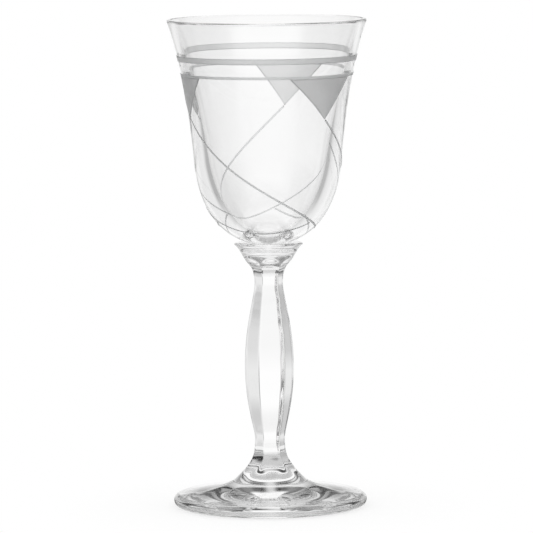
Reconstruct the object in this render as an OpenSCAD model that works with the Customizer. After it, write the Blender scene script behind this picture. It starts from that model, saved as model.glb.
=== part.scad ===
// Sherry glass: a bell-shaped bowl, a six-sided baluster stem and a round foot, fused to one another,
// with a satin pattern fired on to the outside of the bowl.
// Millimetres, +Z up, standing on z = 0 with its axis on the Z axis. The front is -Y.

/* [Bowl] */
// Height of the bowl from its seat on the stem to the rim
bowl_h = 67.4; // [60:0.1:80]
// Diameter over the rim
rim_d = 60; // [54:0.5:72]
// Thickness of the rounded lip
lip_t = 1.2; // [0.8:0.1:2]
// Outward lean of the outside wall at the rim, in degrees
rim_lean = 20; // [8:1:30]
// Height of the waist above the seat, where the outside wall stands most upright
waist_h = 25.4; // [22:0.1:30]
// Outside diameter at the waist
waist_d = 44.6; // [40:0.2:50]
// Lean of the outside wall at the waist, in degrees
waist_lean = 5; // [2:1:9]
// Thickness of the wall at the waist
waist_wall = 4.35; // [3:0.05:5.5]
// Thickness of the floor under the hollow
floor_t = 3; // [2.4:0.1:6]
// Diameter of the flat seat under the bowl
seat_d = 10.4; // [9:0.2:16]

/* [Stem] */
// Length of the stem between its two seats
stem_l = 72.1; // [60:0.1:90]
// Turn of the six facets from facing the front squarely, in degrees
stem_turn = 6; // [-30:1:30]
// Diameter of the collar at the top
collar_d = 20.8; // [19:0.2:24]
// Length of the round flare under the collar
upper_flare_l = 10; // [8:0.2:12]
// Distance from the bowl's seat down to the upper neck
upper_neck_drop = 12.4; // [12:0.2:16]
// Width across the flats at the upper neck
upper_neck_af = 7.6; // [6:0.1:9]
// Height of the belly above the seat on the foot
belly_h = 34.5; // [30:0.5:40]
// Width across the flats at the belly
belly_af = 13.1; // [11:0.1:15]
// Height of the lower neck above the seat on the foot
lower_neck_h = 12.8; // [12:0.2:16]
// Width across the flats at the lower neck
lower_neck_af = 8; // [6:0.1:9]
// Length of the round flare above the foot
lower_flare_l = 10; // [8:0.2:12]

/* [Foot] */
// Diameter of the foot
foot_d = 58.2; // [50:0.2:70]
// Thickness of the foot at its rounded edge
foot_edge_t = 3.6; // [2:0.1:4.5]
// Height of the foot at its hub, where the stem is seated
foot_h = 7.5; // [6.5:0.1:10]
// Diameter of the hub, where the flare of the stem ends
hub_d = 22.4; // [20:0.2:25]
// Inside diameter of the flat ring that the glass stands on
ring_d = 44; // [36:0.5:46]
// Depth of the hollow under the foot
hollow_h = 0.6; // [0.4:0.1:2]

/* [Satin pattern] */
// Thickness of the fired satin layer
satin_t = 0.08; // [0.05:0.01:0.15]
// Clearance between the satin layer and the glass under it
satin_gap = 0.02; // [0.01:0.01:0.04]
// Distance from the rim down to the middle of the upper band
upper_band_drop = 11.5; // [8:0.1:14]
// Height of the upper band
upper_band_h = 1.7; // [1:0.1:2.5]
// Distance from the rim down to the middle of the lower band
lower_band_drop = 16.4; // [16:0.1:20]
// Height of the lower band
lower_band_h = 0.8; // [0.5:0.1:1.5]
// Number of triangles, each with its sweeping line
motifs = 3; // [2:1:4]
// Direction of the first triangle's point, in degrees from +X
motif_angle = -44.5; // [-60:0.5:60]
// Height of a triangle, from the lower band to its point
triangle_h = 12.3; // [8:0.1:14]
// Turn from a triangle's left corner to its point, in degrees
triangle_left_angle = 30; // [20:1:40]
// Turn from a triangle's point to its right corner, in degrees
triangle_right_angle = 23; // [15:1:30]
// Width of a sweeping line
sweep_w = 0.55; // [0.3:0.05:0.7]
// Turn from a triangle's point to the lowest place of its line, in degrees
sweep_turn = 187.5; // [160:0.5:200]
// Height of that lowest place above the bowl's seat
sweep_low_h = 3.9; // [3:0.1:8]
// How sharply a line drops at first: 2 is a parabola
sweep_power = 2.05; // [1.8:0.05:2.6]

/* [Hidden] */
$fn = 96;

// Steps along one curve of a half section, along a rounding, and along one stretch of a stem facet
curve_steps = 20;
round_steps = 8;
facet_steps = 10;

// Heights above the table
foot_seat_z = foot_h;
bowl_seat_z = foot_seat_z + stem_l;
rim_z = bowl_seat_z + bowl_h;

// A point on the cubic curve with the four control points p
function bezier(p, t) =
    pow(1 - t, 3) * p[0] + 3 * pow(1 - t, 2) * t * p[1] + 3 * (1 - t) * t * t * p[2] + pow(t, 3) * p[3];

// The points of that curve in n steps, without its last point, so that curves can follow one another
function curve(p, n) = [for (i = [0 : n - 1]) bezier(p, i / n)];

// A direction in a half section, [outwards, up], at an angle from outwards
function toward(angle) = [cos(angle), sin(angle)];

// An arc in a half section about c, from angle a to angle b
function arc(c, r, a, b, n) = [for (i = [0 : n]) c + r * toward(a + (b - a) * i / n)];

// A list from its other end
function reversed(p) = [for (i = [len(p) - 1 : -1 : 0]) p[i]];

// Half section of the bowl, [radius, height]
// The hollow leans out a little more than the outside, because the wall thins towards the lip
wall_taper = 4;
// How far a wall keeps its direction at each end of a curve, as a share of that curve's height
rim_pull = 0.24;
waist_pull = 0.38;
body_pull = 0.55;
// The underside leaves the seat at this slope in degrees, and keeps it for this share of its width
under_slope = 12.7;
under_pull = 0.58;
// The floor of the hollow keeps level for this share of the hollow's half width, and its side keeps the wall's
// lean for this share of its depth below the waist
floor_pull = 0.3;
hollow_pull = 0.8;

lip_r = lip_t / 2;
lip_c = [rim_d / 2 - lip_r, rim_z - lip_r];
lip_out = lip_c + lip_r * toward(-rim_lean);
lip_in = lip_c + lip_r * toward(180 - rim_lean - wall_taper);
flare_h = bowl_h - waist_h;
waist_out = [waist_d / 2, bowl_seat_z + waist_h];
waist_in = waist_out - [waist_wall, 0];
hollow_floor = [0, bowl_seat_z + floor_t];
seat_edge = [seat_d / 2, bowl_seat_z];

flare_out = [
    lip_out,
    lip_out - rim_pull * flare_h * [tan(rim_lean), 1],
    waist_out + waist_pull * flare_h * [tan(waist_lean), 1],
    waist_out
];
body_out = [
    waist_out,
    waist_out - body_pull * waist_h * [tan(waist_lean), 1],
    seat_edge + under_pull * (waist_out[0] - seat_edge[0]) * [1, tan(under_slope)],
    seat_edge
];
body_in = [
    hollow_floor,
    hollow_floor + [floor_pull * waist_in[0], 0],
    waist_in - hollow_pull * (waist_h - floor_t) * [tan(waist_lean + wall_taper), 1],
    waist_in
];
flare_in = [
    waist_in,
    waist_in + waist_pull * flare_h * [tan(waist_lean + wall_taper), 1],
    lip_in - rim_pull * flare_h * [tan(rim_lean + wall_taper), 1],
    lip_in
];
lip = arc(lip_c, lip_r, 180 - rim_lean - wall_taper, -rim_lean, round_steps);
inside = concat(curve(body_in, curve_steps), curve(flare_in, curve_steps));
outside = concat(curve(flare_out, curve_steps), curve(body_out, curve_steps), [seat_edge]);

// Outside radius of the bowl at a height, for all that lies on it
radius_at_height = [for (p = outside) [p[1], p[0]]];
function outside_r(z) = lookup(z, radius_at_height);

module bowl()
{
    color("#F2F5F5", 0.35)
        rotate_extrude()
            polygon(concat(inside, lip, outside, [[0, bowl_seat_z]]));
}

// One side of the slab between two opposite facets, [half width, height]
// How far a facet keeps upright at a neck and at the belly, as a share of the stretch between them
neck_pull = 0.15;
belly_pull = 0.52;
// The same at a neck towards its flare, and where a facet turns outwards, as shares of that stretch
scoop_pull = 0.53;
scoop_turn = [0.15, 0.67];
// A facet's curve ends this far from the seat there, and this far outside the glass
upper_facet_end = 2.15;
lower_facet_end = 0.3;
facet_past = 1;

upper_neck = [upper_neck_af / 2, bowl_seat_z - upper_neck_drop];
lower_neck = [lower_neck_af / 2, foot_seat_z + lower_neck_h];
belly = [belly_af / 2, foot_seat_z + belly_h];
facet_top = [collar_d / 2 + facet_past, bowl_seat_z - upper_facet_end];
facet_bottom = [hub_d / 2 + facet_past, foot_seat_z + lower_facet_end];

// Control points from a neck to the belly
function swell(neck) = [
    neck,
    neck + [0, neck_pull * (belly[1] - neck[1])],
    belly + [0, belly_pull * (neck[1] - belly[1])],
    belly
];

// Control points from a neck to where the facet runs out
function scoop(neck, end) = [
    neck,
    neck + [0, scoop_pull * (end[1] - neck[1])],
    neck + [scoop_turn[0] * (end[0] - neck[0]), scoop_turn[1] * (end[1] - neck[1])],
    end
];

facet_side = concat(
    [[facet_bottom[0], foot_seat_z]],
    curve(reversed(scoop(lower_neck, facet_bottom)), facet_steps),
    curve(swell(lower_neck), facet_steps),
    curve(reversed(swell(upper_neck)), facet_steps),
    curve(scoop(upper_neck, facet_top), facet_steps),
    [facet_top, [facet_top[0], bowl_seat_z]]
);

// Half section of the round blank that the facets are cut from
// Bevel at the top edge of the collar
collar_bevel = 0.25;
// A hexagon's corners lie this much further out than its flats
corner_share = 1 / cos(30);
// The flares end this far outside the corners at the necks, and the blank is this far outside the belly's
neck_clear = 0.3;
belly_clear = 1;
// Where a flare leaves its edge and where it turns upright, as shares of its width and length
upper_flare_turns = [[0.61, 0.19], [0.16, 0.83]];
lower_flare_turns = [[0.5, 0.3], [0.22, 0.42]];

// Control points of a flare from its outer edge to its narrow end
function flare(edge, end, turns) = [
    edge,
    [end[0] + turns[0][0] * (edge[0] - end[0]), edge[1] + turns[0][1] * (end[1] - edge[1])],
    [end[0] + turns[1][0] * (edge[0] - end[0]), edge[1] + turns[1][1] * (end[1] - edge[1])],
    end
];

upper_flare = flare(
    [collar_d / 2, bowl_seat_z - collar_bevel],
    [upper_neck[0] * corner_share + neck_clear, bowl_seat_z - upper_flare_l],
    upper_flare_turns
);
lower_flare = flare(
    [hub_d / 2, foot_seat_z],
    [lower_neck[0] * corner_share + neck_clear, foot_seat_z + lower_flare_l],
    lower_flare_turns
);
blank_r = belly[0] * corner_share + belly_clear;
blank = concat(
    [[0, foot_seat_z]],
    curve(lower_flare, facet_steps),
    [
        lower_flare[3],
        [blank_r, (lower_neck[1] + belly[1]) / 2],
        [blank_r, (upper_neck[1] + belly[1]) / 2]
    ],
    curve(reversed(upper_flare), facet_steps),
    [upper_flare[0], [collar_d / 2 - collar_bevel, bowl_seat_z], [0, bowl_seat_z]]
);

// Two opposite facets, as the slab between them
module facet_pair()
{
    rotate([90, 0, 90])
        linear_extrude(height = 2 * collar_d, center = true)
            polygon(concat(facet_side, [for (p = reversed(facet_side)) [-p[0], p[1]]]));
}

module stem()
{
    color("#E9EDED", 0.35)
        intersection() {
            rotate_extrude()
                polygon(blank);
            rotate([0, 0, stem_turn])
                facet_pair();
            rotate([0, 0, stem_turn + 60])
                facet_pair();
            rotate([0, 0, stem_turn + 120])
                facet_pair();
        }
}

// Half section of the foot
// Slope of the top at its edge and at its hub in degrees, and the share of its width that keeps each slope
edge_slope = 5;
hub_slope = 32;
edge_pull = 0.42;
hub_pull = 0.22;

edge_r = foot_edge_t / 2;
edge_c = [foot_d / 2 - edge_r, edge_r];
top_edge = edge_c + edge_r * toward(90 - edge_slope);
hub_edge = [hub_d / 2, foot_seat_z];
top_w = top_edge[0] - hub_edge[0];
foot_top = [
    top_edge,
    top_edge + edge_pull * top_w * [-1, tan(edge_slope)],
    hub_edge + hub_pull * top_w * [1, -tan(hub_slope)],
    hub_edge
];
// The hollow underneath is part of a large ball
hollow_r = (pow(ring_d / 2, 2) + pow(hollow_h, 2)) / (2 * hollow_h);
hollow_c = [0, hollow_h - hollow_r];

module foot()
{
    color("#E9EDED", 0.35)
        rotate_extrude()
            polygon(concat(
                arc(hollow_c, hollow_r, 90, acos(ring_d / 2 / hollow_r), round_steps),
                arc(edge_c, edge_r, -90, 90 - edge_slope, round_steps),
                curve(foot_top, curve_steps),
                [hub_edge, [0, foot_seat_z]]
            ));
}

upper_band_z = rim_z - upper_band_drop;
lower_band_z = rim_z - lower_band_drop;
satin_colour = "#C8CACA";

// A ring of satin round the bowl
module satin_band(middle_z, band_h)
{
    heights = [for (i = [-1 : 1]) middle_z + i * band_h / 2];
    color(satin_colour)
        rotate_extrude()
            polygon(concat(
                [for (z = heights) [outside_r(z) + satin_gap, z]],
                [for (z = reversed(heights)) [outside_r(z) + satin_gap + satin_t, z]]
            ));
}

module upper_frosted_band()
{
    satin_band(upper_band_z, upper_band_h);
}

module lower_frosted_band()
{
    satin_band(lower_band_z, lower_band_h);
}

// A place on the bowl, given as [angle, height], lifted off the glass
function on_bowl(place, lift) =
    let (r = outside_r(place[1]) + lift)
    [r * cos(place[0]), r * sin(place[0]), place[1]];

// A closed sheet of satin over rows of places, the rows from the top down and each from left to right
module satin_sheet(rows)
{
    across = len(rows[0]);
    down = len(rows);
    total = across * down;
    points = [for (lift = [satin_gap, satin_gap + satin_t]) for (row = rows) for (place = row)
        on_bowl(place, lift)];
    inner = [for (j = [0 : down - 2]) for (i = [0 : across - 2])
        let (c = j * across + i)
        [c, c + 1, c + 1 + across, c + across]];
    outer = [for (f = inner) [for (i = reversed(f)) i + total]];
    // The border runs once round the sheet, and joins the inner face to the outer one
    border = concat(
        [for (i = [0 : across - 2]) i],
        [for (j = [0 : down - 2]) (j + 1) * across - 1],
        [for (i = [across - 1 : -1 : 1]) (down - 1) * across + i],
        [for (j = [down - 1 : -1 : 1]) j * across]
    );
    turns = len(border);
    edge = [for (k = [0 : turns - 1])
        let (a = border[k], b = border[(k + 1) % turns])
        [b, a, a + total, b + total]];
    quads = concat(inner, outer, edge);
    color(satin_colour)
        polyhedron(points, concat(
            [for (q = quads) [q[0], q[1], q[2]]],
            [for (q = quads) [q[0], q[2], q[3]]]
        ));
}

triangle_top_z = lower_band_z - lower_band_h / 2;
point_z = triangle_top_z - triangle_h;
// A triangle's point is this many degrees wide, and its top lies this far below the band
blunt_angle = 0.6;
band_clear = 0.02;
// Places across and down a triangle
triangle_columns = 18;
triangle_rows = 10;

// Direction of a motif, from 0
function motif_direction(k) = motif_angle + 360 / motifs * k;

// A place on the triangle whose point is at angle a: s runs from left to right, t from the top to the point
function triangle_place(a, s, t) =
    let (
        left = a - blunt_angle / 2 - triangle_left_angle * (1 - t),
        right = a + blunt_angle / 2 + triangle_right_angle * (1 - t)
    )
    [left + (right - left) * s, triangle_top_z - band_clear - (triangle_h - band_clear) * t];

module frosted_triangle(k)
{
    satin_sheet([for (j = [0 : triangle_rows]) [for (i = [0 : triangle_columns])
        triangle_place(motif_direction(k), i / triangle_columns, j / triangle_rows)]]);
}

// A line starts this many degrees past the triangle's point, and stops this many short of the next line,
// which it would meet half a motif past its lowest place
sweep_start = 0.8;
sweep_short = 2.6;
sweep_stop = sweep_turn + 180 / motifs - sweep_short;
sweep_steps = 80;
sweep_low_z = bowl_seat_z + sweep_low_h;

// Slopes are measured over this far to each side, in millimetres or degrees
probe = 0.5;

// Height of the middle of a line at a turn from the triangle's point
function sweep_z(turn) =
    sweep_low_z + (point_z - sweep_low_z) * pow(abs(1 - turn / sweep_turn), sweep_power);

// A place on one edge of a line, where side is 1 above and -1 below: half the width, square to the line
function sweep_edge(a, turn, side) =
    let (
        z = sweep_z(turn),
        wall_slope = (outside_r(z + probe) - outside_r(z - probe)) / (2 * probe),
        wall_per_z = norm([1, wall_slope]),
        along = outside_r(z) * PI / 180,
        rise = (sweep_z(turn + probe) - sweep_z(turn - probe)) / (2 * probe) * wall_per_z,
        half = side * sweep_w / 2 / norm([along, rise])
    )
    [a + turn - half * rise / along, z + half * along / wall_per_z];

module sweeping_line(k)
{
    satin_sheet([for (side = [1, -1]) [for (i = [0 : sweep_steps])
        sweep_edge(motif_direction(k), sweep_start + (sweep_stop - sweep_start) * i / sweep_steps, side)]]);
}

bowl();
stem();
foot();
upper_frosted_band();
lower_frosted_band();
for (k = [0 : motifs - 1]) {
    frosted_triangle(k);
    sweeping_line(k);
}
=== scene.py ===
# %% [markdown]
# A sherry glass, drawn with numpy
#
# The glass is three gathers of clear glass that were fused while hot: a bell-shaped bowl, a six-sided baluster stem
# and a round foot. A satin pattern of bands, triangles and thin lines lies on the outside of the bowl. The packed
# model already has every piece at its true size. Its meshes are made of flat triangles, and clear glass shows each
# of them, so here every piece is worked out again as a smooth surface from the same sizes.

import bpy
import numpy as np
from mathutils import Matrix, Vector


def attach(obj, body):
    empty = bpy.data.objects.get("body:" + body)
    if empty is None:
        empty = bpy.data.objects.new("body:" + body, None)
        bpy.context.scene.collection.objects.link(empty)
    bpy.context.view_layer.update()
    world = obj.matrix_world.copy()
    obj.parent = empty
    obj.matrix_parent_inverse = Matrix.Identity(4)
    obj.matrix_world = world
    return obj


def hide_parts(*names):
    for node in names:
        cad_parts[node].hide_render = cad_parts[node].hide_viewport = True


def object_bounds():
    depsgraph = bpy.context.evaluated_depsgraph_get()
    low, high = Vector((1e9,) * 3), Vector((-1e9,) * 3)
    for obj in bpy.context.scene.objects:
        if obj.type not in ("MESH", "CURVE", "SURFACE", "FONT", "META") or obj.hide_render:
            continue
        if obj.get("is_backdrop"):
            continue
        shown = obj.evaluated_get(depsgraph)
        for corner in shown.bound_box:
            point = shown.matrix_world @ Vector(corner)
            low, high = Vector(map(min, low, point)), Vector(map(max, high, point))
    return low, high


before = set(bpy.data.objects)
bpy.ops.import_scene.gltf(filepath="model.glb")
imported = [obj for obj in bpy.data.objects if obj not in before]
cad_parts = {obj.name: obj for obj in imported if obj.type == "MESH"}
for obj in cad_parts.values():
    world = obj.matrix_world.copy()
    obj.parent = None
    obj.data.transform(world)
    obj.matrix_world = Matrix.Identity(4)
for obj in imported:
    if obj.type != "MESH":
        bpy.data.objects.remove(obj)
cad_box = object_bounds()
scene = bpy.context.scene
print("nodes:", ", ".join(sorted(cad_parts)))

# %% [markdown]
# The camera comes first, because everything else is judged through it. The rim and the foot show as flat ovals.
# How flat each one is gives the camera's height, and how they differ gives its distance. A long lens a little above
# the rim fits both. The picture is turned by half a degree, so the camera is rolled by as much.

# %% Camera
LOOK_DOWN, ROLL, LOOK_ASIDE = 5.84, 0.48, -0.047
LENS, SENSOR_W, FAR_END = 312.7, 36.0, 50.0
STAND_AT = (-0.00057, -1.387, 0.2143)
view = bpy.data.cameras.new("view")
view.lens = LENS
view.sensor_width = SENSOR_W
view.clip_end = FAR_END
camera = bpy.data.objects.new("camera", view)
camera.location = STAND_AT
camera.rotation_euler = np.radians([90 - LOOK_DOWN, ROLL, LOOK_ASIDE])
scene.collection.objects.link(camera)
scene.camera = camera
scene.view_settings.view_transform = "Standard"
print("camera", round(camera.location.length, 3), "m from the origin, lens", LENS, "mm")

# %% [markdown]
# Light goes in and out of the glass many times before it leaves: through the front wall, the back wall, and to and
# fro inside the stem. A path that is cut short turns black, so the limits on bounces are raised.

# %% Light paths
BOUNCES = 256
scene.cycles.max_bounces = BOUNCES
scene.cycles.transmission_bounces = BOUNCES
scene.cycles.glossy_bounces = BOUNCES
scene.cycles.transparent_max_bounces = BOUNCES
print("bounces", BOUNCES)

# %% [markdown]
# A few small helpers do the work of all the pieces. One draws a smooth curve through four control points, the way a
# bent spline does on a drawing board. One spins a half section about the axis, as a glass lathe would. One puts
# arrays of points and faces into a mesh, and turns the faces outwards if they came out inside out.

# %% Curves
MM = 0.001


def curve(points, n, last=False):
    """A cubic curve: four points weighed by (1-t)^3, 3(1-t)^2 t, 3(1-t) t^2 and t^3, for t from 0 to 1."""
    t = np.linspace(0.0, 1.0, n, endpoint=last)[:, None]
    a, b, c, d = np.asarray(points, float)
    return (1 - t) ** 3 * a + 3 * (1 - t) ** 2 * t * b + 3 * (1 - t) * t ** 2 * c + t ** 3 * d


def toward(degrees):
    """A unit step in a half section, [outwards, up], at an angle from outwards: its cosine and its sine."""
    a = np.radians(degrees)
    return np.stack([np.cos(a), np.sin(a)], -1)


# %% Meshes
def closed_grid(count, rows, columns):
    """Quads between neighbouring rows of a grid that closes on itself sideways, and fans to the two pole points.

    Of the count points, the first is one pole, then come the rows, and the last is the other pole.
    """
    i = np.arange(columns)
    j = np.arange(rows - 1)[:, None]
    here = 1 + j * columns + i
    right = 1 + j * columns + (i + 1) % columns
    quads = np.stack([here, right, right + columns, here + columns], -1).reshape(-1, 4)
    first = np.stack([np.zeros_like(i), 1 + (i + 1) % columns, 1 + i], -1)
    base = 1 + (rows - 1) * columns
    end = np.stack([np.full_like(i, count - 1), base + i, base + (i + 1) % columns], -1)
    return quads, np.concatenate([first, end])


def put_mesh(name, points, quads, triangles=None):
    """A mesh object from points in millimetres. Its volume is a sixth of the sum of a . (b x c) over its triangles:
    where that is negative the faces look inwards, and each one is turned round."""
    triangles = np.zeros((0, 3), int) if triangles is None else triangles
    halves = np.concatenate([quads[:, [0, 1, 2]], quads[:, [0, 2, 3]], triangles])
    a, b, c = (points[halves[:, k]] for k in range(3))
    volume = np.einsum("ij,ij->i", a, np.cross(b, c)).sum() / 6
    if volume < 0:
        quads, triangles = quads[:, ::-1], triangles[:, ::-1]
    corners = np.concatenate([quads.ravel(), triangles.ravel()]).astype(np.int32)
    sizes = np.concatenate([np.full(len(quads), 4), np.full(len(triangles), 3)])
    mesh = bpy.data.meshes.new(name)
    mesh.vertices.add(len(points))
    mesh.vertices.foreach_set("co", (points * MM).astype(np.float32).ravel())
    mesh.loops.add(len(corners))
    mesh.loops.foreach_set("vertex_index", corners)
    mesh.polygons.add(len(sizes))
    mesh.polygons.foreach_set("loop_start", (np.cumsum(sizes) - sizes).astype(np.int32))
    mesh.polygons.foreach_set("use_smooth", np.ones(len(sizes), bool))
    mesh.update(calc_edges=True)
    mesh.validate()
    piece = bpy.data.objects.new(name, mesh)
    scene.collection.objects.link(piece)
    print(f"{name}: {len(halves)} triangles, {abs(volume) / 1000:.2f} cm3")
    return piece


def spin(name, section, columns):
    """A half section [radius, height] carried round the axis: each point goes to (r cos a, r sin a, z)."""
    a = np.linspace(0, 2 * np.pi, columns, endpoint=False)
    r, z = section[1:-1].T
    ring = np.stack([np.outer(r, np.cos(a)), np.outer(r, np.sin(a)), np.outer(z, np.ones(columns))], -1)
    points = np.concatenate([[[0, 0, section[0, 1]]], ring.reshape(-1, 3), [[0, 0, section[-1, 1]]]])
    return put_mesh(name, points, *closed_grid(len(points), len(r), columns))


# %% [markdown]
# The sizes are the ones the solids were made with, in millimetres. Heights are counted from the table: the foot
# carries the stem, the stem carries the bowl.

# %% Sizes
FOOT_H, STEM_L, BOWL_H = 7.5, 72.1, 67.4
FOOT_SEAT = FOOT_H
BOWL_SEAT = FOOT_SEAT + STEM_L
RIM = BOWL_SEAT + BOWL_H
RIM_R = 60.0 / 2
SEAT_R = 10.4 / 2
HUB_R = 22.4 / 2
print("foot seat", FOOT_SEAT, "bowl seat", BOWL_SEAT, "rim", RIM)

# %% [markdown]
# The bowl is one wall that goes up the inside, round the lip and down the outside. Its outside leans out by 20
# degrees at the rim, stands almost upright at the waist and rounds under to a small flat seat. The inside follows
# it, but the wall thickens from 1.2 mm at the lip to 4.4 mm at the waist, and the floor is 3 mm thick. Glass bends
# light by its wall, so the inside has to be as true as the outside. A subdivided cylinder could be pulled to this
# shape too, but a spun section keeps the wall exact.

# %% Where the bowl's curves start and end
RIM_LEAN, WAIST_LEAN, WALL_TAPER = 20.0, 5.0, 4.0
LIP_R = 1.2 / 2
WAIST_H, WAIST_R, WAIST_WALL, FLOOR_T = 25.4, 44.6 / 2, 4.35, 3.0
FLARE_H = BOWL_H - WAIST_H
lip_c = np.array([RIM_R - LIP_R, RIM - LIP_R])
lip_out = lip_c + LIP_R * toward(-RIM_LEAN)
lip_in = lip_c + LIP_R * toward(180 - RIM_LEAN - WALL_TAPER)
waist_out = np.array([WAIST_R, BOWL_SEAT + WAIST_H])
waist_in = waist_out - [WAIST_WALL, 0]
hollow_floor = np.array([0.0, BOWL_SEAT + FLOOR_T])
seat_edge = np.array([SEAT_R, BOWL_SEAT])
print("wall", 2 * LIP_R, "mm at the lip,", WAIST_WALL, "at the waist, floor", FLOOR_T)

# %% The bowl's section
# How far each curve holds the direction it starts or ends with, as a share of its height or width
RIM_HOLD, ABOVE_WAIST, BELOW_WAIST, SEAT_HOLD = 0.24, 0.38, 0.55, 0.58
FLOOR_HOLD, INNER_HOLD = 0.3, 0.8
SEAT_RISE = 12.7
# Points along the lip and along the four curves
LIP_N, FLARE_OUT_N, BODY_OUT_N, BODY_IN_N, FLARE_IN_N = 16, 60, 72, 64, 56
# A narrow ring of faces just inside each sharp edge keeps the shading crisp there
CRISP_STEP = 0.05


def slope(degrees):
    """A step up of 1 with the step outwards that a lean gives: [tan(lean), 1]."""
    return np.array([np.tan(np.radians(degrees)), 1.0])


flare_out = [
    lip_out,
    lip_out - RIM_HOLD * FLARE_H * slope(RIM_LEAN),
    waist_out + ABOVE_WAIST * FLARE_H * slope(WAIST_LEAN),
    waist_out,
]
body_out = [
    waist_out,
    waist_out - BELOW_WAIST * WAIST_H * slope(WAIST_LEAN),
    seat_edge + SEAT_HOLD * (WAIST_R - SEAT_R) * np.array([1, np.tan(np.radians(SEAT_RISE))]),
    seat_edge,
]
body_in = [
    hollow_floor,
    hollow_floor + [FLOOR_HOLD * waist_in[0], 0],
    waist_in - INNER_HOLD * (WAIST_H - FLOOR_T) * slope(WAIST_LEAN + WALL_TAPER),
    waist_in,
]
flare_in = [
    waist_in,
    waist_in + ABOVE_WAIST * FLARE_H * slope(WAIST_LEAN + WALL_TAPER),
    lip_in - RIM_HOLD * FLARE_H * slope(RIM_LEAN + WALL_TAPER),
    lip_in,
]
lip = lip_c + LIP_R * toward(np.linspace(180 - RIM_LEAN - WALL_TAPER, -RIM_LEAN, LIP_N, endpoint=False))
inside = np.concatenate([curve(body_in, BODY_IN_N), curve(flare_in, FLARE_IN_N)])
outside = np.concatenate([curve(flare_out, FLARE_OUT_N), curve(body_out, BODY_OUT_N, last=True)])
under_seat = np.array([[SEAT_R - CRISP_STEP, BOWL_SEAT], [SEAT_R / 2, BOWL_SEAT], [0.0, BOWL_SEAT]])
bowl_section = np.concatenate([inside, lip, outside, under_seat])
print("bowl section:", len(bowl_section), "points, widest radius", round(bowl_section[:, 0].max(), 2), "mm")

# %% Spin the bowl
SPOKES = 240
bowl = spin("glass_bowl", bowl_section, SPOKES)

# %% [markdown]
# The stem was pressed in a six-sided mould. Each side is a flat that swells to a belly and draws in at two necks,
# and at both ends the flats run out into round flares. As a function of angle and height, its radius is the
# smaller of two: the round flare's, and that of the nearest flat, which is the flat's distance divided by the
# cosine of the angle away from its middle. Hot glass never has a knife edge, so the smaller is taken softly. The
# front flat doesn't face the camera squarely: the six are turned by 6 degrees.

# %% The stem's outline
UPPER_NECK = np.array([7.6 / 2, BOWL_SEAT - 12.4])
LOWER_NECK = np.array([8.0 / 2, FOOT_SEAT + 12.8])
BELLY = np.array([13.1 / 2, FOOT_SEAT + 34.5])
COLLAR_R, COLLAR_BEVEL = 20.8 / 2, 0.25
FLARE_L, FLARE_SPARE = 10.0, 0.3
facet_top = np.array([COLLAR_R + 1, BOWL_SEAT - 2.15])
facet_bottom = np.array([HUB_R + 1, FOOT_SEAT + 0.3])
CORNER = 1 / np.cos(np.radians(30))
print("belly", round(BELLY[0] * CORNER * 2, 2), "mm over the corners")

# %% The line of a flat
# How far a flat stays upright after a neck and before the belly, as shares of the rise between them
NECK_HOLD, BELLY_HOLD = 0.15, 0.52
# How far it stays upright before an end, then the share of the way out and up at which it bends
SCOOP_HOLD, SCOOP_BEND = 0.53, (0.15, 0.67)
LINE_N = 60


def swell(neck):
    """From a neck to the belly, upright at both ends."""
    rise = BELLY[1] - neck[1]
    return [neck, neck + [0, NECK_HOLD * rise], BELLY - [0, BELLY_HOLD * rise], BELLY]


def scoop(neck, end):
    """From a neck outwards to where the flat leaves the glass."""
    rise = end[1] - neck[1]
    return [neck, neck + [0, SCOOP_HOLD * rise], neck + SCOOP_BEND * (end - neck), end]


flat_line = np.concatenate([
    curve(scoop(LOWER_NECK, facet_bottom), LINE_N)[::-1],
    curve(swell(LOWER_NECK), LINE_N),
    curve(swell(UPPER_NECK), LINE_N)[::-1],
    curve(scoop(UPPER_NECK, facet_top), LINE_N),
])
print("flat from", flat_line[0, 1].round(1), "to", flat_line[-1, 1].round(1), "mm")

# %% The line of the round flares
# Shares of the way out from the narrow end and up from the edge, for the two middle points of each curve
UPPER_BENDS, LOWER_BENDS, FLARE_N = [(0.61, 0.19), (0.16, 0.83)], [(0.5, 0.3), (0.22, 0.42)], 80


def flare(edge, end, bends):
    """From a flare's outer edge to its narrow end, past two points that are given as shares of the way."""
    out, rise = edge[0] - end[0], end[1] - edge[1]
    return [edge] + [np.array([end[0] + u * out, edge[1] + v * rise]) for u, v in bends] + [end]


collar_edge = np.array([COLLAR_R, BOWL_SEAT - COLLAR_BEVEL])
collar_end = np.array([UPPER_NECK[0] * CORNER + FLARE_SPARE, BOWL_SEAT - FLARE_L])
hub_top = np.array([HUB_R, FOOT_SEAT])
hub_end = np.array([LOWER_NECK[0] * CORNER + FLARE_SPARE, FOOT_SEAT + FLARE_L])
upper_flare = curve(flare(collar_edge, collar_end, UPPER_BENDS), FLARE_N, last=True)
lower_flare = curve(flare(hub_top, hub_end, LOWER_BENDS), FLARE_N, last=True)
# Between the flares the round line is kept out of the way, outside the corners of the belly
clear_of_belly = [[9.0, 30.0], [9.0, 55.0]]
round_line = np.concatenate([lower_flare, clear_of_belly, upper_flare[::-1]])
print("flares", FLARE_L, "mm long, collar", 2 * COLLAR_R, "mm across")

# %% Six flats and two flares
SIDES, PER_SIDE, STEM_TURN = 6, 32, 6.0
CRISP = 36.0
END_L, END_ROWS, MIDDLE_ROWS = 12, 70, 90
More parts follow.
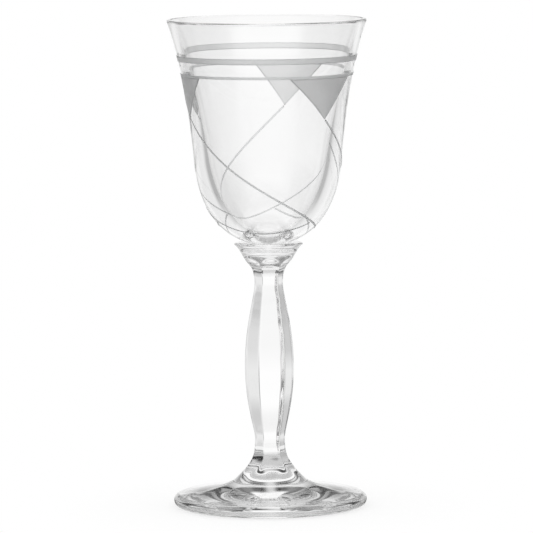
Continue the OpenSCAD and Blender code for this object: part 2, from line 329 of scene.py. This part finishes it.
# Past the ends of the flats their radius is put far out, so that the round flare is the smaller one
NO_FLAT = 20.0
u = np.linspace(-1, 1, PER_SIDE, endpoint=False)
off_middle = np.tile(np.radians(30) * np.sin(np.pi / 2 * u), SIDES)
flat_middles = np.radians(STEM_TURN - 90 + 60 * np.arange(SIDES))
around = np.repeat(flat_middles, PER_SIDE) + off_middle
heights = np.concatenate([
    np.linspace(FOOT_SEAT, FOOT_SEAT + END_L, END_ROWS, endpoint=False),
    np.linspace(FOOT_SEAT + END_L, BOWL_SEAT - END_L, MIDDLE_ROWS, endpoint=False),
    np.linspace(BOWL_SEAT - END_L, BOWL_SEAT - COLLAR_BEVEL, END_ROWS),
])
flats = np.interp(heights, flat_line[:, 1], flat_line[:, 0], left=NO_FLAT, right=NO_FLAT)
rounds = np.interp(heights, round_line[:, 1], round_line[:, 0])
# Cosine of the angle to each of the six flats; the soft smaller of all is a sum of high powers
faces = np.cos(around[:, None] - flat_middles).clip(0)
hexagon = (faces ** CRISP).sum(1) ** (-1 / CRISP)
radius = (np.outer(flats, hexagon) ** -CRISP + (rounds ** -CRISP)[:, None]) ** (-1 / CRISP)
print("stem radius", radius.min().round(2), "to", radius.max().round(2), "mm")

# %% [markdown]
# The mould was in two halves. Where they met, a fine seam stands up along two opposite ridges. Molten glass creeps
# into the joint unevenly, so the seam wanders a little from side to side, and fire-polishing has melted it away at
# both ends.

# %% The seam of the mould
SEAM_H, SEAM_W, SEAM_CLEAR, SEAM_FADE = 0.25, 0.45, 9.0, 4.0
# Two sine waves make it wander: how far each one goes, how slowly it swings, and where it starts
WANDER = [(0.12, 1.9, 0.0), (0.08, 0.83, 1.0)]
wander = sum(reach * np.sin(heights / slow + start) for reach, slow, start in WANDER)
from_ends = np.minimum(heights - FOOT_SEAT, BOWL_SEAT - heights)
kept = np.clip((from_ends - SEAM_CLEAR) / SEAM_FADE, 0, 1)
# Angle from the nearer of the two ridges, which lie half a turn apart
from_ridge = np.angle(np.exp(2j * (around - flat_middles[0] - np.radians(30)))) / 2
from_seam = radius * from_ridge - wander[:, None]
radius = radius + SEAM_H * kept[:, None] * np.exp(-(from_seam / SEAM_W) ** 2)
print("seam", SEAM_H, "mm high,", 2 * SEAM_W, "mm wide")

# %% Press the stem
# Another narrow ring of faces, at the border of each fused seat
EDGE_STEP = 0.02
lid_r = np.array([COLLAR_R - COLLAR_BEVEL, SEAT_R + EDGE_STEP, SEAT_R, SEAT_R / 2])
base = np.full((1, len(around)), HUB_R / 2)
radius = np.concatenate([base, radius, np.repeat(lid_r[:, None], len(around), 1)])
levels = np.concatenate([[FOOT_SEAT], heights, np.full(len(lid_r), BOWL_SEAT)])
level_grid = np.repeat(levels[:, None], len(around), 1)
grid = np.stack([radius * np.cos(around), radius * np.sin(around), level_grid], -1)
stem_points = np.concatenate([[[0, 0, FOOT_SEAT]], grid.reshape(-1, 3), [[0, 0, BOWL_SEAT]]])
stem = put_mesh("glass_stem", stem_points, *closed_grid(len(stem_points), len(levels), len(around)))

# %% [markdown]
# The foot is a disc whose top rises to the hub in a long hollow curve. Its edge is fully rounded, and underneath it
# stands on a flat ring around a shallow hollow, so that it doesn't rock. It is spun like the bowl.

# %% The foot
FOOT_R, EDGE_R, RING_R, HOLLOW_H = 58.2 / 2, 3.6 / 2, 44.0 / 2, 0.6
EDGE_LEAN, HUB_LEAN, EDGE_HOLD, HUB_HOLD = 5.0, 32.0, 0.42, 0.22
HOLLOW_N, EDGE_N, TOP_N = 24, 32, 60
edge_c = np.array([FOOT_R - EDGE_R, EDGE_R])
top_edge = edge_c + EDGE_R * toward(90 - EDGE_LEAN)
top_w = top_edge[0] - HUB_R
foot_top = [
    top_edge,
    top_edge + EDGE_HOLD * top_w * np.array([-1, np.tan(np.radians(EDGE_LEAN))]),
    hub_top + HUB_HOLD * top_w * np.array([1, -np.tan(np.radians(HUB_LEAN))]),
    hub_top,
]
# The hollow is a cap of a large ball, whose radius follows from the ring's radius and the hollow's height
ball_r = (RING_R ** 2 + HOLLOW_H ** 2) / (2 * HOLLOW_H)
ring_angle = np.degrees(np.arccos(RING_R / ball_r))
hollow = np.array([0, HOLLOW_H - ball_r]) + ball_r * toward(np.linspace(90, ring_angle, HOLLOW_N))
foot_section = np.concatenate([
    hollow,
    [[RING_R + CRISP_STEP, 0]],
    edge_c + EDGE_R * toward(np.linspace(-90, 90 - EDGE_LEAN, EDGE_N, endpoint=False)),
    curve(foot_top, TOP_N, last=True),
    [[HUB_R - EDGE_STEP, FOOT_SEAT], [HUB_R / 2, FOOT_SEAT], [0, FOOT_SEAT]],
])
foot = spin("glass_foot", foot_section, SPOKES)

# %% [markdown]
# The satin pattern is a matt layer on the outside of the bowl. Each band, triangle and line is a thin closed sheet,
# 0.08 mm thick, a hair above the glass. A sheet is a function of two parameters that gives an angle and a height,
# and the bowl's own outline gives the radius there. A texture could draw the pattern too, but sheets keep its
# borders sharp from close by, and let each motif be a piece of its own.

# %% Satin sheets
SATIN_GAP, SATIN_T = 0.02, 0.08


def outside_r(z):
    """Radius of the bowl's outside at a height, read off its outline."""
    return np.interp(z, outside[::-1, 1], outside[::-1, 0])


def satin_sheet(name, angle, z, from_edge, ring=False):
    """A closed thin sheet over a grid of angles (in degrees) and heights: the grid twice, once just off the glass
    and once a layer further out, with a strip of faces all round its border. Each point also keeps its distance
    from the nearest edge of the pattern, in millimetres, for the finish."""
    rows, columns = z.shape
    a = np.radians(angle)
    layers = [outside_r(z) + SATIN_GAP, outside_r(z) + SATIN_GAP + SATIN_T]
    points = np.concatenate([np.stack([r * np.cos(a), r * np.sin(a), z], -1).reshape(-1, 3) for r in layers])
    index = np.arange(rows * columns).reshape(rows, columns)
    index = np.concatenate([index, index[:, :1]], 1) if ring else index
    inner = np.stack([index[:-1, :-1], index[1:, :-1], index[1:, 1:], index[:-1, 1:]], -1).reshape(-1, 4)
    top, bottom = index[0], index[-1][::-1]
    whole = [np.concatenate([top, index[1:, -1], bottom[1:], index[::-1, 0][1:]])]
    loops = [top, bottom] if ring else whole
    n = rows * columns
    border = np.concatenate([np.stack([k[:-1], k[1:], k[1:] + n, k[:-1] + n], -1) for k in loops])
    piece = put_mesh(name, points, np.concatenate([inner, inner[:, ::-1] + n, border]))
    distance = np.tile(np.broadcast_to(from_edge, z.shape).ravel(), 2)
    piece.data.attributes.new("from_edge", "FLOAT", "POINT").data.foreach_set("value", distance.astype(np.float32))
    return piece


# %% Bands
UPPER_BAND, LOWER_BAND = (RIM - 11.5, 1.7), (RIM - 16.4, 0.8)
BAND_ROWS, BAND_STEP = 9, 1.5


def band(name, middle, height):
    """A ring of satin: all angles, and heights from half the band's height below its middle to half above."""
    side, angle = np.meshgrid(np.linspace(1, -1, BAND_ROWS), np.arange(0, 360, BAND_STEP), indexing="ij")
    return satin_sheet(name, angle, middle + height / 2 * side, height / 2 * (1 - np.abs(side)), ring=True)


upper_band = band("satin_upper_band", *UPPER_BAND)
lower_band = band("satin_lower_band", *LOWER_BAND)

# %% [markdown]
# Three triangles hang from the lower band, a third of a turn apart. The point isn't under the middle: it is 30
# degrees from the left corner and 23 from the right. From each point a thin line sweeps down round the bowl. Its
# height over the lowest place falls with a power of the turn that is left, so it drops fast at first and then runs
# almost level past the lowest place, up to the next line.

# %% Triangles
POINT_ANGLES = -44.5 + 120.0 * np.arange(3)
TRIANGLE_TOP, TRIANGLE_H = LOWER_BAND[0] - LOWER_BAND[1] / 2, 12.3
POINT_Z = TRIANGLE_TOP - TRIANGLE_H
TO_LEFT, TO_RIGHT, BLUNT, TOP_GAP = 30.0, 23.0, 0.3, 0.02
TRIANGLE_ROWS, TRIANGLE_COLUMNS = 41, 49


def triangle(name, point_angle):
    """Angle goes from the left edge to the right one, which draw together linearly from the top to the point."""
    t, s = np.meshgrid(np.linspace(0, 1, TRIANGLE_ROWS), np.linspace(0, 1, TRIANGLE_COLUMNS), indexing="ij")
    left = point_angle - BLUNT - TO_LEFT * (1 - t)
    right = point_angle + BLUNT + TO_RIGHT * (1 - t)
    z = TRIANGLE_TOP - TOP_GAP - (TRIANGLE_H - TOP_GAP) * t
    across = np.radians(right - left) * outside_r(z)
    # Square to a slanted edge the distance is shorter than along the level, by the slant's cosine
    top_r = outside_r(TRIANGLE_TOP)
    slant_left = TRIANGLE_H / np.hypot(TRIANGLE_H, np.radians(TO_LEFT) * top_r)
    slant_right = TRIANGLE_H / np.hypot(TRIANGLE_H, np.radians(TO_RIGHT) * top_r)
    from_edge = np.minimum(across * s * slant_left, across * (1 - s) * slant_right)
    return satin_sheet(name, left + (right - left) * s, z, from_edge)


triangles = [triangle(f"satin_triangle_{k + 1}", a) for k, a in enumerate(POINT_ANGLES)]

# %% Sweeping lines
SWEEP_TURN, SWEEP_LOW, SWEEP_POWER, SWEEP_W = 187.5, BOWL_SEAT + 3.9, 2.05, 0.55
SWEEP_START, SWEEP_END = 0.8, SWEEP_TURN + 60 - 2.6
SWEEP_STEPS, SWEEP_ROWS = 321, 5


def sweep_z(turn):
    """Height of a line: the lowest place, plus the drop times |1 - turn / whole turn| to the power."""
    return SWEEP_LOW + (POINT_Z - SWEEP_LOW) * np.abs(1 - turn / SWEEP_TURN) ** SWEEP_POWER


def sweeping_line(name, point_angle):
    """A strip of constant width: each edge lies half the width from the middle, square to it on the glass."""
    turn = np.linspace(SWEEP_START, SWEEP_END, SWEEP_STEPS)
    z = sweep_z(turn)
    along = np.radians(1) * outside_r(z)
    per_z = np.hypot(1, outside_r(z + 0.5) - outside_r(z - 0.5))
    rise = (sweep_z(turn + 0.5) - sweep_z(turn - 0.5)) * per_z
    half = SWEEP_W / 2 / np.hypot(along, rise)
    side = np.linspace(1, -1, SWEEP_ROWS)[:, None]
    angle = point_angle + turn - side * half * rise / along
    return satin_sheet(name, angle, z + side * half * along / per_z, SWEEP_W / 2 * (1 - np.abs(side)))


lines = [sweeping_line(f"satin_line_{k + 1}", a) for k, a in enumerate(POINT_ANGLES)]

# %% [markdown]
# Now the materials. One function reads a colour as it is written on a swatch, and one adds a node to a material,
# with its settings and its links.

# %% Helpers for materials
def swatch(code):
    """An sRGB hex colour in linear light: values under 0.04045 are divided by 12.92, others go through a power."""
    v = np.array([int(code[k:k + 2], 16) for k in (1, 3, 5)]) / 255
    return (*np.where(v <= 0.04045, v / 12.92, ((v + 0.055) / 1.055) ** 2.4), 1.0)


def node(tree, kind, inputs=None, **settings):
    """A node of one kind: settings go on the node itself, inputs are values or other nodes' outputs."""
    made = tree.nodes.new(kind)
    for key, value in settings.items():
        setattr(made, key, value)
    for key, value in (inputs or {}).items():
        if isinstance(value, bpy.types.NodeSocket):
            tree.links.new(value, made.inputs[key])
        else:
            made.inputs[key].default_value = value
    return made


def material(name):
    """A new material with an empty node tree and its output."""
    made = bpy.data.materials.new(name)
    made.use_nodes = True
    made.node_tree.nodes.clear()
    return made, made.node_tree, node(made.node_tree, "ShaderNodeOutputMaterial")


# %% [markdown]
# Clear soda-lime glass, pressed and fire-polished. It bends light with an index of 1.52. The mould leaves its skin
# a little uneven, in soft waves about 9 mm long that are far too shallow to see except in how they bend the
# background.

# %% Clear glass
GLASS_IOR = 1.52
WAVE_L, WAVE_H, WAVE_SHARE = 0.009, 0.0005, 0.02
clear, tree, out = material("clear_pressed_glass")
place = node(tree, "ShaderNodeTexCoord").outputs["Object"]
waves = node(tree, "ShaderNodeTexNoise", {"Vector": place, "Scale": 1 / WAVE_L, "Detail": 1.0})
skin = node(tree, "ShaderNodeBump", {"Height": waves.outputs["Fac"], "Strength": WAVE_SHARE, "Distance": WAVE_H})
glass = node(tree, "ShaderNodeBsdfPrincipled", {
    "Base Color": swatch("#FFFFFF"), "Roughness": 0.0, "IOR": GLASS_IOR, "Transmission Weight": 1.0,
    "Normal": skin.outputs["Normal"]})
tree.links.new(glass.outputs["BSDF"], out.inputs["Surface"])
print("material", clear.name)

# %% [markdown]
# Where two gathers were fused there is no surface left between them, and light goes straight on. The pieces still
# end there, so the faces that meet are given a finish that can't be seen.

# %% Fused seats
CLOSE = 0.001
fused, tree, out = material("fused_seat")
unseen = node(tree, "ShaderNodeBsdfPrincipled", {"Base Color": swatch("#FFFFFF"), "Alpha": 0.0})
tree.links.new(unseen.outputs["BSDF"], out.inputs["Surface"])


def fuse(piece, level, reach):
    """Gives the second finish to each face whose points all lie on one level and within a radius of the axis."""
    mesh = piece.data
    co = np.empty(len(mesh.vertices) * 3, np.float32)
    mesh.vertices.foreach_get("co", co)
    co = co.reshape(-1, 3) / MM
    on = (np.abs(co[:, 2] - level) < CLOSE) & (np.hypot(co[:, 0], co[:, 1]) < reach + CLOSE)
    starts = np.empty(len(mesh.polygons), np.int32)
    mesh.polygons.foreach_get("loop_start", starts)
    corners = np.empty(len(mesh.loops), np.int32)
    mesh.loops.foreach_get("vertex_index", corners)
    flat = np.minimum.reduceat(on[corners].astype(np.int32), starts)
    already = np.empty(len(flat), np.int32)
    mesh.polygons.foreach_get("material_index", already)
    mesh.polygons.foreach_set("material_index", np.maximum(flat, already))
    print(piece.name, "faces fused at", level, "mm:", int(flat.sum()))


for piece in (bowl, stem, foot):
    piece.data.materials.append(clear)
    piece.data.materials.append(fused)
fuse(bowl, BOWL_SEAT, SEAT_R)
fuse(stem, BOWL_SEAT, SEAT_R)
fuse(stem, FOOT_SEAT, HUB_R)
fuse(foot, FOOT_SEAT, HUB_R)

# %% [markdown]
# The satin is glass whose skin was made rough, by acid or by a fired-on frit. Each grain bends light its own way, so
# what lies behind is blurred and greyed and the surface looks matt. It is rough glass here too: light goes through,
# but scattered. The real grain is about a twentieth of a millimetre, and is drawn at a third of one so that it can
# be seen at all. The triangles are etched deeper than the bands and lines, so they are greyer. Close to their edges
# the tint turns darker, which draws a thin line round each one.

# %% Satin
GRAIN_L, SATIN_ROUGH = 0.00033, 0.5
# The edge's tint reaches this far in at full strength, and ends here, in millimetres
EDGE_FULL, EDGE_END = 0.3, 0.5


def satin_finish(name, dark, light, edge):
    """Rough glass whose tint goes from dark to light with the grain, and over to the edge's tint close to an edge."""
    made, tree, out = material(name)
    place = node(tree, "ShaderNodeTexCoord").outputs["Object"]
    grain = node(tree, "ShaderNodeTexNoise", {"Vector": place, "Scale": 1 / GRAIN_L, "Detail": 1.0}).outputs["Fac"]
    tone = node(tree, "ShaderNodeValToRGB", {"Fac": grain})
    tone.color_ramp.elements[0].color = swatch(dark)
    tone.color_ramp.elements[1].color = swatch(light)
    from_edge = node(tree, "ShaderNodeAttribute", attribute_name="from_edge").outputs["Fac"]
    inside = node(tree, "ShaderNodeMapRange", {
        "Value": from_edge, "From Min": EDGE_FULL, "From Max": EDGE_END}).outputs["Result"]
    colour = node(tree, "ShaderNodeMix", {
        0: inside, 6: swatch(edge), 7: tone.outputs["Color"]}, data_type="RGBA").outputs[2]
    matt = node(tree, "ShaderNodeBsdfPrincipled", {
        "Base Color": colour, "Roughness": SATIN_ROUGH, "IOR": GLASS_IOR, "Transmission Weight": 1.0})
    tree.links.new(matt.outputs["BSDF"], out.inputs["Surface"])
    print("material", name)
    return made


deep_satin = satin_finish("deep_etched_satin", "#E3E4E4", "#F2F2F2", "#DADBDB")
fine_satin = satin_finish("fine_etched_satin", "#EEEFEF", "#F8F8F8", "#EEEFEF")
for piece in triangles:
    piece.data.materials.append(deep_satin)
for piece in (upper_band, lower_band, *lines):
    piece.data.materials.append(fine_satin)

# %% [markdown]
# The floor is a small disc of white paper under the foot. The camera sees it as white, with a faint shadow that
# fades out before the edge of the disc. Seen through the glass the paper carries painted shadow. It is painted
# darker under the foot, in a ring round its edge and in a small spot beside the stem, where the glass would keep
# light away from it. Straight behind the axis the painted shadow is paler, as the light is taken to come from there.

# %% Floor
FLOOR_R, FLOOR_Z, FLOOR_POINTS = 70.0, -0.2, 96
spokes = np.linspace(0, 2 * np.pi, FLOOR_POINTS, endpoint=False)
disc = np.stack([FLOOR_R * np.cos(spokes), FLOOR_R * np.sin(spokes), np.full(FLOOR_POINTS, FLOOR_Z)], -1)
floor_mesh = bpy.data.meshes.new("floor")
floor_mesh.from_pydata((disc * MM).tolist(), [], [list(range(FLOOR_POINTS))])
floor = bpy.data.objects.new("floor", floor_mesh)
scene.collection.objects.link(floor)
floor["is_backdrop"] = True
print("floor disc", 2 * FLOOR_R, "mm across")

# %% Painted shadow on the paper
# Painted shadow: brightness of the paper seen through the glass, by distance from the axis in millimetres
SHADOW_IN_FRONT = [
    (0, 0.5), (12, 0.5), (16, 0.4), (19, 0.2), (22, 0.2), (24, 0.6), (26, 0.9), (28.5, 0.9), (29.5, 0.03),
    (35, 0.03), (40, 0.1), (48, 0.9)]
SHADOW_BEHIND = [
    (0, 0.6), (16, 0.6), (19, 0.5), (22, 0.5), (24, 0.7), (26, 0.9), (28.5, 0.9), (29.5, 0.55), (33, 0.55),
    (38, 0.85), (46, 1)]
RINGS_R = 50.0
# Depth divided by distance is 0 beside the axis and 1 straight behind it. Between these two values the painted
# shadow in front gives way to the paler painted shadow behind
BACK_FROM, BACK_TO = 0.7, 0.92
# The painted shadow of the stem, a spot beside it: its middle, the radii from which and to which it fades, and its
# brightness
STEM_SHADE, SHADE_FULL, SHADE_END, SHADE_GREY = (0.0068, 0.0085, 0.0), 0.0038, 0.0068, 0.05


def put_stops(ramp, stops, start, end):
    """Grey stops of a colour ramp, whose two ends stand for the values start and end."""
    elements = ramp.color_ramp.elements
    while len(elements) < len(stops):
        elements.new(0.5)
    for element, (at, grey) in zip(elements, stops):
        element.position = (at - start) / (end - start)
        element.color = (grey, grey, grey, 1)


print(len(SHADOW_IN_FRONT), "shades in front,", len(SHADOW_BEHIND), "behind")

# %% Paper seen through the glass, with painted shadow
paper, tree, out = material("white_paper")
place = node(tree, "ShaderNodeTexCoord").outputs["Object"]
far = node(tree, "ShaderNodeVectorMath", {0: place}, operation="LENGTH").outputs["Value"]
ring = node(tree, "ShaderNodeMath", {0: far, 1: 1 / (RINGS_R * MM)}, operation="MULTIPLY").outputs[0]
# Painted shadow: rings of shade on the paper by distance from the axis, one set in front and one behind
front = node(tree, "ShaderNodeValToRGB", {"Fac": ring})
back = node(tree, "ShaderNodeValToRGB", {"Fac": ring})
put_stops(front, SHADOW_IN_FRONT, 0, RINGS_R)
put_stops(back, SHADOW_BEHIND, 0, RINGS_R)
depth = node(tree, "ShaderNodeSeparateXYZ", {0: place}).outputs["Y"]
facing = node(tree, "ShaderNodeMath", {0: depth, 1: far}, operation="DIVIDE").outputs[0]
behind = node(tree, "ShaderNodeMapRange", {
    "Value": facing, "From Min": BACK_FROM, "From Max": BACK_TO}).outputs["Result"]
painted_shadow_rings = node(tree, "ShaderNodeMix", {
    0: behind, 6: front.outputs["Color"], 7: back.outputs["Color"]}, data_type="RGBA").outputs[2]
# Painted shadow of the stem: a dark spot beside it, multiplied into the rings
from_shade = node(tree, "ShaderNodeVectorMath", {0: place, 1: STEM_SHADE}, operation="DISTANCE").outputs["Value"]
shade = node(tree, "ShaderNodeMapRange", {
    "Value": from_shade, "From Min": SHADE_FULL, "From Max": SHADE_END, "To Min": SHADE_GREY}).outputs["Result"]
under = node(tree, "ShaderNodeMath", {0: painted_shadow_rings, 1: shade}, operation="MULTIPLY").outputs[0]
print("spot beside the stem", 2 * SHADE_END / MM, "mm across")

# %% Paper in the camera's own view
# Near the foot this share of the paper is plain white and the rest takes shadows. Between the two radii it becomes
# white all over
PLAIN_WHITE, SHADOW_R, WHITE_R = 0.75, 0.035, 0.066
lit = node(tree, "ShaderNodeMapRange", {
    "Value": far, "From Min": SHADOW_R, "From Max": WHITE_R, "To Min": PLAIN_WHITE}).outputs["Result"]
path = node(tree, "ShaderNodeLightPath")
own_view = path.outputs["Is Camera Ray"]
through = node(tree, "ShaderNodeMath", {
    0: path.outputs["Is Glossy Ray"], 1: path.outputs["Is Transmission Ray"]}, operation="MAXIMUM").outputs[0]
direct = node(tree, "ShaderNodeMath", {0: own_view, 1: lit}, operation="MULTIPLY").outputs[0]
share = node(tree, "ShaderNodeMath", {0: direct, 1: through}, operation="MAXIMUM").outputs[0]
strength = node(tree, "ShaderNodeMath", {0: own_view, 1: under}, operation="MAXIMUM").outputs[0]
sheet = node(tree, "ShaderNodeBsdfDiffuse", {"Color": swatch("#FFFFFF")})
bright = node(tree, "ShaderNodeEmission", {"Color": swatch("#FFFFFF"), "Strength": strength})
mix = node(tree, "ShaderNodeMixShader", {0: share, 1: sheet.outputs[0], 2: bright.outputs[0]})
tree.links.new(mix.outputs[0], out.inputs["Surface"])
floor_mesh.materials.append(paper)
print("material", paper.name)

# %% [markdown]
# Clear glass has no colour of its own. What it shows is the room, bent and mirrored. The studio here is a white
# sweep behind and below the glass, darker room at both sides, a dark gap above the sweep, and a wide soft light
# overhead that leans back over the sweep, so the ceiling on the camera's side is darker. It is written down as
# storeys, one above the other: the heights in degrees between which a storey takes over from the one below, then
# its brightness by direction, in degrees from straight behind the glass. The camera and the matt surfaces see plain
# white all round, so the pattern is only for light that the glass mirrors or lets through.

# %% The studio's storeys
STOREYS = [
    (-90, -89, [
        (-180, 1), (-134, 1), (-124, 0.3), (-62, 0.35), (-52, 0.6), (-40, 0.85), (-30, 1), (30, 1), (40, 0.85),
        (52, 0.65), (62, 0.45), (124, 0.3), (134, 1), (180, 1)]),
    (-34, -26, [
        (-180, 0.9), (-130, 0.8), (-110, 0.5), (-70, 0.5), (-60, 0.42), (-46, 0.42), (-41, 0.7), (-36, 0.86),
        (-18, 0.85), (-8, 0.92), (18, 0.98), (26, 0.9), (36, 0.82), (41, 0.7), (46, 0.45), (60, 0.45), (70, 0.5),
        (110, 0.6), (130, 0.8), (180, 0.9)]),
    (-11, -6, [
        (-180, 0.9), (-80, 0.9), (-64, 0.5), (-48, 0.7), (-42, 0.9), (-36, 0.9), (-30, 0.65), (-26, 0.35),
        (-19, 0.35), (-14, 1), (14, 1), (19, 0.4), (26, 0.4), (30, 0.7), (38, 0.86), (46, 0.75), (64, 0.55),
        (80, 0.9), (180, 0.9)]),
    (1, 5, [
        (-180, 0.9), (-140, 0.8), (-115, 0.2), (-95, 0.02), (-60, 0.02), (-50, 0.06), (-45, 0.6), (-30, 0.75),
        (-12, 0.85), (0, 0.9), (12, 0.85), (30, 0.75), (45, 0.6), (50, 0.06), (60, 0.02), (95, 0.02), (115, 0.2),
        (140, 0.8), (180, 0.9)]),
    (8, 11, [
        (-180, 0.9), (-140, 0.8), (-115, 0.2), (-95, 0.02), (-50, 0.05), (-44, 0.3), (-37, 0.7), (-19, 0.7),
        (-13, 0.05), (-6, 0.05), (-4, 0.3), (-2, 0.7), (2, 0.7), (4, 0.3), (6, 0.05), (13, 0.05), (19, 0.7),
        (37, 0.7), (44, 0.3), (50, 0.05), (95, 0.02), (115, 0.2), (140, 0.8), (180, 0.9)]),
    (15, 18, [
        (-180, 1), (-150, 1), (-120, 0.3), (-90, 0.05), (-70, 0.3), (-58, 0.3), (-50, 0.05), (-30, 0.05),
        (-25, 0.15), (-18, 0.2), (-13, 0.05), (-6, 0.05), (-4, 0.3), (-2, 0.65), (2, 0.65), (4, 0.3), (6, 0.05),
        (13, 0.05), (18, 0.2), (25, 0.15), (30, 0.05), (50, 0.05), (58, 0.3), (70, 0.3), (90, 0.05), (120, 0.3),
        (150, 1), (180, 1)]),
    (29, 36, [
        (-180, 0.2), (-120, 0.2), (-80, 0.4), (-60, 0.9), (-50, 1), (50, 1), (60, 0.9), (80, 0.4), (120, 0.2),
        (180, 0.2)]),
    (62, 72, [(-180, 0.9), (180, 0.9)]),
]
print("studio of", len(STOREYS), "storeys")

# %% Studio light
world = bpy.data.worlds.new("studio")
scene.world = world
world.use_nodes = True
tree = world.node_tree
tree.nodes.clear()
out = node(tree, "ShaderNodeOutputWorld")
way = node(tree, "ShaderNodeSeparateXYZ", {0: node(tree, "ShaderNodeTexCoord").outputs["Generated"]})
turn = node(tree, "ShaderNodeMath", {0: way.outputs["X"], 1: way.outputs["Y"]}, operation="ARCTAN2").outputs[0]
turn = node(tree, "ShaderNodeMath", {0: turn, 1: 1 / (2 * np.pi), 2: 0.5}, operation="MULTIPLY_ADD").outputs[0]
height = node(tree, "ShaderNodeMath", {0: way.outputs["Z"]}, operation="ARCSINE").outputs[0]
height = node(tree, "ShaderNodeMath", {0: height, 1: 180 / np.pi}, operation="MULTIPLY").outputs[0]
room = (1, 1, 1, 1)
for start, full, stops in STOREYS:
    storey = node(tree, "ShaderNodeValToRGB", {"Fac": turn})
    put_stops(storey, stops, -180, 180)
    above = node(tree, "ShaderNodeMapRange", {"Value": height, "From Min": start, "From Max": full})
    room = node(tree, "ShaderNodeMix", {
        0: above.outputs["Result"], 6: room, 7: storey.outputs["Color"]}, data_type="RGBA").outputs[2]
path = node(tree, "ShaderNodeLightPath")
through = node(tree, "ShaderNodeMath", {
    0: path.outputs["Is Glossy Ray"], 1: path.outputs["Is Transmission Ray"]}, operation="MAXIMUM").outputs[0]
colour = node(tree, "ShaderNodeMix", {0: through, 6: swatch("#FFFFFF"), 7: room}, data_type="RGBA").outputs[2]
light = node(tree, "ShaderNodeBackground", {"Color": colour, "Strength": 1.0})
tree.links.new(light.outputs[0], out.inputs["Surface"])
print("world", world.name)

# %% [markdown]
# Each piece takes the place of the imported solid that it was drawn from, and moves with the one body of the glass;
# beside each the list gives the name of a material slot.

# %% Where each piece belongs
places = [
    (bowl, "bowl", "clear_glass"),
    (stem, "stem", "clear_glass"),
    (foot, "foot", "clear_glass"),
    (upper_band, "upper_frosted_band", "satin_glass"),
    (lower_band, "lower_frosted_band", "satin_glass"),
    *[(piece, f"frosted_triangle_{k + 1}", "satin_glass") for k, piece in enumerate(triangles)],
    *[(piece, f"sweeping_line_{k + 1}", "satin_glass") for k, piece in enumerate(lines)],
]
for piece, solid, slot in places:
    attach(piece, "root")
    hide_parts(solid)
print(len(places), "pieces placed")

# %% [markdown]
# Last, the box around all pieces is printed next to the box of the solids, so that the sizes of the two models
# can be set side by side.

# %% Size
boxes = {"cad": cad_box, "visual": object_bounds()}
boxes = {name: [[float(v) for v in corner] for corner in box] for name, box in boxes.items()}
print(boxes)
